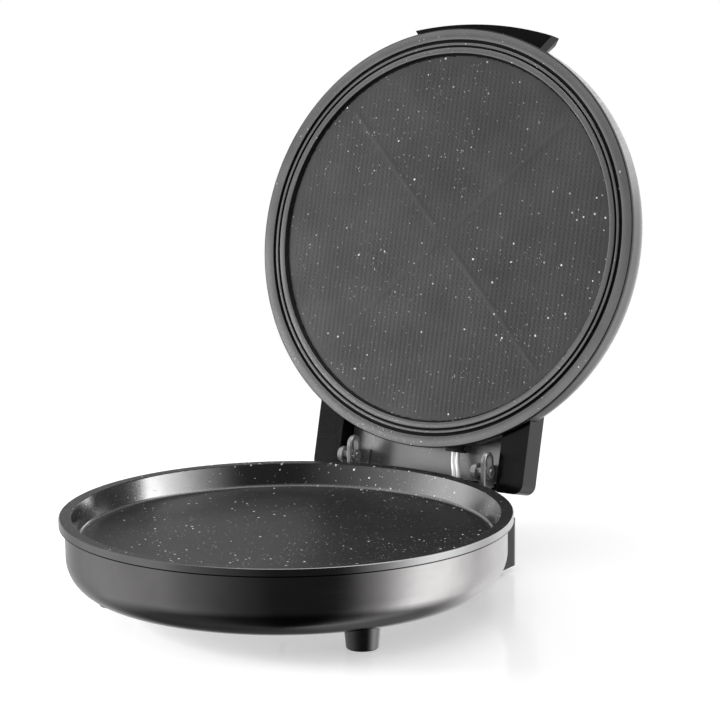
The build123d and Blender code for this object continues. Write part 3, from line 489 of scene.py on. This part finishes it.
materials = {
    "nonstick": coated_finish(
        "nonstick",
        0.011,
        0.017,
        rough=0.46,
        metal=0.05,
        speck_share=0.6,
        polish=polish_pan,
        Specular_IOR_Level=0.28,
    ),
    # Painted shade: a near-black coating for the grooves, the field's sunken edge and the flange's outer edge,
    # where shade falls
    "painted_shade_coating": coated_finish(
        "painted_shade_coating", 0.004, 0.007, rough=0.6, metal=0.0, speck_share=0.05
    ),
    "field_coating": coated_finish(
        "field_coating", 0.06, 0.082, rough=0.32, metal=0.35, speck_share=0.3
    ),
    "flange_coating": coated_finish(
        "flange_coating", 0.24, 0.29, rough=0.16, metal=0.8, speck_share=0.16
    ),
    "gunmetal": brushed_finish(
        "gunmetal", (0.27, 0.262, 0.262), (0.31, 0.302, 0.302), rough=0.17, stretch=LEVEL_STREAKS
    ),
    # Painted shade: a darker copy of the gunmetal, for the lid's cover
    "gunmetal_painted_shade": brushed_finish(
        "gunmetal_painted_shade", (0.105, 0.102, 0.102), (0.122, 0.119, 0.119), rough=0.24, stretch=LEVEL_STREAKS
    ),
    "black_gloss": plain_finish(
        "black_gloss", 0.004, 0.007, rough=0.14, grain=500.0, Specular_IOR_Level=0.18
    ),
    "black_satin": plain_finish("black_satin", 0.014, 0.022, rough=0.4, depth=0.06 * MM),
    "grey_panel": plain_finish("grey_panel", 0.24, 0.3, rough=0.26, metal=0.5, scale=30.0),
    "zinc_sheet": plain_finish("zinc_sheet", 0.42, 0.56, rough=0.38, metal=1.0, scale=120.0),
    "bright_sheet": plain_finish("bright_sheet", 0.6, 0.7, rough=0.25, metal=1.0),
    "heater_sheath": plain_finish("heater_sheath", 0.12, 0.2, rough=0.45, metal=0.8),
    "insulation_wool": plain_finish(
        "insulation_wool", (0.55, 0.5, 0.4), (0.75, 0.72, 0.62), rough=0.95, scale=200.0, depth=0.6 * MM
    ),
    "ceramic": plain_finish("ceramic", (0.72, 0.7, 0.64), (0.8, 0.78, 0.73), rough=0.35),
    "hinge_steel": brushed_finish(
        "hinge_steel", 0.4, 0.55, rough=0.32, stretch=(24.0, 1.0, 1.0), metal=0.8
    ),
    "screw_steel": brushed_finish("screw_steel", 0.45, 0.55, rough=0.28, stretch=(18.0, 18.0, 1.0)),
    "foot_black": plain_finish("foot_black", 0.01, 0.016, rough=0.16, IOR=1.7),
    "pad_rubber": plain_finish("pad_rubber", 0.02, 0.035, rough=0.75, depth=0.12 * MM),
    "red_lens": plain_finish(
        "red_lens", (0.35, 0.006, 0.004), (0.5, 0.012, 0.01), rough=0.08, Coat_Weight=0.6
    ),
    "green_lens": plain_finish(
        "green_lens", (0.01, 0.2, 0.02), (0.02, 0.3, 0.04), rough=0.08, Coat_Weight=0.6
    ),
    "lead_sleeve": sleeve_finish("lead_sleeve"),
}

# Each imported node has the finish of its slot, but the lid's cover gets a darker copy of the gunmetal, a painted
# shade
for subpart in frame["record"]["subparts"]:
    node = nodes[subpart["node"]]
    finish = "gunmetal_painted_shade" if subpart["node"] == "lid_shell" else subpart["material_slot"]
    node.data.materials.clear()
    node.data.materials.append(materials[finish])


# Mesh helpers
def rounded(corners, steps=4):
    """A profile of (radius, height, rounding) corners, with a short tangent curve for each rounding."""
    out = []
    for index, (radius, height, rounding) in enumerate(corners):
        if not rounding:
            out.append((radius, height))
            continue
        here = Vector((radius, height))
        before = Vector(corners[index - 1][:2]) - here
        after = Vector(corners[index + 1][:2]) - here
        start = here + before.normalized() * min(rounding, before.length / 2)
        end = here + after.normalized() * min(rounding, after.length / 2)
        for step in range(steps + 1):
            t = step / steps
            out.append(tuple(start * (1 - t) ** 2 + here * 2 * t * (1 - t) + end * t * t))
    return out


def turned(profile, segments):
    """Points and faces of a profile of (radius, height) points turned about the z axis."""
    points = []
    for radius, height in profile:
        for turn in range(segments):
            angle = 2 * math.pi * turn / segments
            points.append((radius * math.cos(angle), radius * math.sin(angle), height))
    faces = []
    for ring in range(len(profile) - 1):
        near = ring * segments
        far = near + segments
        for turn in range(segments):
            ahead = (turn + 1) % segments
            faces.append((near + turn, near + ahead, far + ahead, far + turn))
    return points, faces


def part_way(distance, run):
    """How much of a run a distance covers, from 0 before it to 1 past it."""
    return min(max(distance / run, 0), 1)


# Lid plate: the flange and its two grooves
def flange_corners():
    """The flange's profile, from its back round the rim to the field: radius, depth, rounding."""
    back = RIM_RADIUS - PLATE_BACK_INSET
    return (
        (back, PLATE_BACK_DEPTH, 0),
        (back, FLANGE_THICKNESS, 0),
        (RIM_RADIUS, FLANGE_THICKNESS, 0),
        (RIM_RADIUS, 0, FLANGE_EDGE),
        (flange_inner, 0, FACE_EDGE),
        (flange_inner - OUTER_GROOVE_DRAFT, OUTER_GROOVE_DEPTH, FOOT_EDGE),
        (ridge_outer + OUTER_GROOVE_DRAFT, OUTER_GROOVE_DEPTH, FOOT_EDGE),
        (ridge_outer, 0, RIDGE_EDGE),
        (ridge_inner, 0, RIDGE_EDGE),
        (ridge_inner - INNER_GROOVE_DRAFT, INNER_GROOVE_DEPTH, FOOT_EDGE),
        (bead_outer + INNER_GROOVE_DRAFT, INNER_GROOVE_DEPTH, FOOT_EDGE),
        (bead_outer, 0, FACE_EDGE),
        (bead_inner, 0, FACE_EDGE),
        (FIELD_RADIUS, FIELD_DEPTH, FOOT_EDGE),
        (FIELD_RADIUS - FIELD_LAP, FIELD_DEPTH, 0),
    )


def build_lid_flange():
    profile = rounded(flange_corners())
    points, faces = turned(profile, FLANGE_SEGMENTS)
    slots = []
    for (before, low), (radius, high) in zip(profile, profile[1:]):
        # Faces down in the grooves and the field's edge, and round the rim's outer edge, get the painted shade
        groove_painted_shade = radius < GROOVES_START and (low + high) / 2 > PAINTED_SHADE_DEPTH
        edge_painted_shade = min(before, radius) > EDGE_PAINTED_SHADE_START
        slots += [1 if groove_painted_shade or edge_painted_shade else 0] * FLANGE_SEGMENTS
    mesh = bpy.data.meshes.new("lid_plate_flange")
    mesh.from_pydata([tuple(LID @ Vector(point)) for point in points], [], faces)
    mesh.materials.append(materials["flange_coating"])
    mesh.materials.append(materials["painted_shade_coating"])
    mesh.polygons.foreach_set("material_index", slots)
    mesh.polygons.foreach_set("use_smooth", [True] * len(mesh.polygons))
    mesh.validate()
    mesh.update()
    flange = add_object("lid_plate_flange", mesh)
    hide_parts("lid_plate")
    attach(flange, "lid")


# Lid plate: the sunken field, pressed with small dimples in rows and four creases along diagonals
def field_height(x, y):
    """How far the pressed pattern stands off the field's floor, towards the pan."""
    reach = math.hypot(x, y)
    column = x / DIMPLE_PITCH
    row = y / (DIMPLE_PITCH * ROW_RATIO)
    waves = [math.cos(2 * math.pi * phase) for phase in (column + row, column - row, column)]
    dimples = DIMPLE_DEPTH * sum(waves) / 3 * part_way(DIMPLES_END - reach, DIMPLES_FADE)
    off_line = min(abs(x - y), abs(x + y)) / math.sqrt(2)
    crease = math.exp(-((off_line / CREASE_WIDTH) ** 2))
    crease *= part_way(CREASES_END - reach, CREASES_END_FADE)
    crease *= part_way(reach - CREASES_START, CREASES_START_FADE)
    return dimples * (1 - crease) + CREASE_DEPTH * crease


def build_lid_field():
    step = DIMPLE_PITCH / 4
    row_step = step * ROW_RATIO
    rows = int(FIELD_RADIUS / row_step) + 1
    columns = int(FIELD_RADIUS / step) + 1
    made = bmesh.new()
    grid = {}
    for row in range(-rows, rows + 1):
        for column in range(-columns - 1, columns + 2):
            x = (column + (0.5 if row % 2 else 0)) * step
            y = row * row_step
            if math.hypot(x, y) < FIELD_RADIUS - FIELD_EDGE_GAP:
                local = Vector((x, y, FIELD_DEPTH - FIELD_LIFT - field_height(x, y)))
                grid[column, row] = made.verts.new(LID @ local)
    for (column, row), corner in grid.items():
        shift = 1 if row % 2 else 0
        beside = grid.get((column + 1, row))
        above = grid.get((column + shift, row + 1))
        above_left = grid.get((column + shift - 1, row + 1))
        if beside and above:
            made.faces.new((corner, beside, above))
        if above and above_left:
            made.faces.new((corner, above, above_left))
    for face in made.faces:
        face.smooth = True
    mesh = bpy.data.meshes.new("lid_plate_field")
    made.to_mesh(mesh)
    made.free()
    mesh.materials.append(materials["field_coating"])
    field = add_object("lid_plate_field", mesh)
    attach(field, "lid")


build_lid_flange()
build_lid_field()


# Leads: two sleeved wires from the deck into the lid
def lead_points(side):
    """A lead's route: up through the deck, over to the lid's wall and into it."""
    deck_x = DECK_LEAD_X + side * LEAD_PITCH / 2
    lid_x = LID_LEAD_X + side * LEAD_PITCH / 2
    return [
        Vector((deck_x, DECK_LEAD_Y, DECK_LEAD_START)),
        Vector((deck_x, DECK_LEAD_Y, DECK_LEAD_BEND)),
        LID @ Vector((lid_x, LID_LEAD_BEND, LID_LEAD_HEIGHT)),
        LID @ Vector((lid_x, LID_LEAD_END, LID_LEAD_HEIGHT)),
    ]


def build_lead(name, side):
    curve = bpy.data.curves.new(name, "CURVE")
    curve.dimensions = "3D"
    curve.bevel_depth = LEAD_RADIUS
    curve.bevel_resolution = 5
    spline = curve.splines.new("NURBS")
    points = lead_points(side)
    spline.points.add(len(points) - 1)
    for target, point in zip(spline.points, points):
        target.co = (*point, 1)
    spline.order_u = 3
    spline.use_endpoint_u = True
    spline.resolution_u = 12
    wire = add_object(name + "_line", curve)
    mesh = bpy.data.meshes.new_from_object(wire)
    bpy.data.objects.remove(wire)
    mesh.materials.clear()
    mesh.materials.append(materials["lead_sleeve"])
    lead = add_object(name, mesh)
    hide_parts("lid_lead_left" if side < 0 else "lid_lead_right")
    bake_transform(lead)


build_lead("lead_sleeve_left", -1)
build_lead("lead_sleeve_right", 1)


# Floor and light
def build_floor():
    """A white floor that glows a little to the camera and fades out all round."""
    recipe = Recipe("floor")
    grain = recipe.noise(scale=300.0, detail=2.0)
    recipe.feed(
        Base_Color=recipe.between(grain, 0.74, 0.76),
        Roughness=0.16,
        Specular_IOR_Level=0.12,
    )
    glow = recipe.node("ShaderNodeEmission")
    glow.inputs["Color"].default_value = (1, 1, 1, 1)
    ray = recipe.node("ShaderNodeLightPath")
    strength = recipe.math("MULTIPLY", ray.outputs["Is Camera Ray"], FLOOR_GLOW)
    recipe.join(strength, glow.inputs["Strength"])
    total = recipe.node("ShaderNodeAddShader")
    recipe.join(recipe.shader.outputs[0], total.inputs[0])
    recipe.join(glow.outputs[0], total.inputs[1])
    clear = recipe.node("ShaderNodeBsdfTransparent")
    far = recipe.between(recipe.length(recipe.place), 0.0, 1.0, FLOOR_FADE_START, FLOOR_FADE_END)
    mixed = recipe.mix_shaders(far, total.outputs[0], clear.outputs[0])
    recipe.join(mixed, recipe.tree.nodes["Material Output"].inputs["Surface"])
    mesh = bpy.data.meshes.new("floor")
    signs = ((-1, -1), (1, -1), (1, 1), (-1, 1))
    corners = [(across * FLOOR_HALF_SIZE, along * FLOOR_HALF_SIZE, 0) for across, along in signs]
    mesh.from_pydata(corners, [], [(0, 1, 2, 3)])
    mesh.materials.append(recipe.material)
    floor = add_object("floor", mesh)
    floor.visible_glossy = False


def build_world():
    """White to the camera; around the object a studio with a dark front and bright sides."""
    world = bpy.data.worlds.new("studio")
    world.use_nodes = True
    world.node_tree.nodes.clear()
    wiring = Wiring(world.node_tree, "Generated")
    level_back = Vector((view_back.x, view_back.y, 0)).normalized()
    bearing = wiring.math("ARCTAN2", wiring.along(view_right), wiring.along(level_back))
    # The ramp runs from half a turn to the left (0) to half a turn to the right (1)
    by_bearing = wiring.ramp(
        wiring.math("MULTIPLY_ADD", bearing, 0.5 / math.pi, 0.5),
        [(degrees / 360 + 0.5, light) for degrees, light in STUDIO_WALLS],
    )
    height = wiring.math("MULTIPLY_ADD", wiring.along((0, 0, 1)), 0.5, 0.5)
    light = wiring.math("MULTIPLY", by_bearing, wiring.ramp(height, STUDIO_HEIGHTS))
    studio = wiring.background(wiring.math("MULTIPLY", light, STUDIO_STRENGTH))
    soft = wiring.background(SOFT_STRENGTH)
    backdrop = wiring.background(BACKDROP_STRENGTH)
    ray = wiring.node("ShaderNodeLightPath")
    around = wiring.mix_shaders(ray.outputs["Is Glossy Ray"], soft, studio)
    seen = wiring.mix_shaders(ray.outputs["Is Camera Ray"], around, backdrop)
    output = wiring.node("ShaderNodeOutputWorld")
    wiring.join(seen, output.inputs["Surface"])
    bpy.context.scene.world = world


def add_softbox(name, place, aim, width, height, power):
    lamp = bpy.data.lights.new(name, "AREA")
    lamp.shape = "RECTANGLE"
    lamp.size = width
    lamp.size_y = height
    lamp.energy = power
    box = add_object(name, lamp)
    box.location = place
    box.rotation_euler = (Vector(aim) - Vector(place)).to_track_quat("-Z", "Y").to_euler()
    return box


build_floor()
build_world()
add_softbox(
    "overhead_softbox", place=(0.1, 0.1, 1.7), aim=(0, 0, 0.1), width=1.4, height=1.4, power=8.0
)
low_fill = add_softbox(
    "low_fill_softbox",
    place=(-0.55, -0.45, 0.2),
    aim=(-0.05, 0.15, 0.12),
    width=0.3,
    height=0.25,
    power=8.0,
)
low_fill.visible_glossy = False
bpy.context.scene.view_settings.view_transform = "Standard"
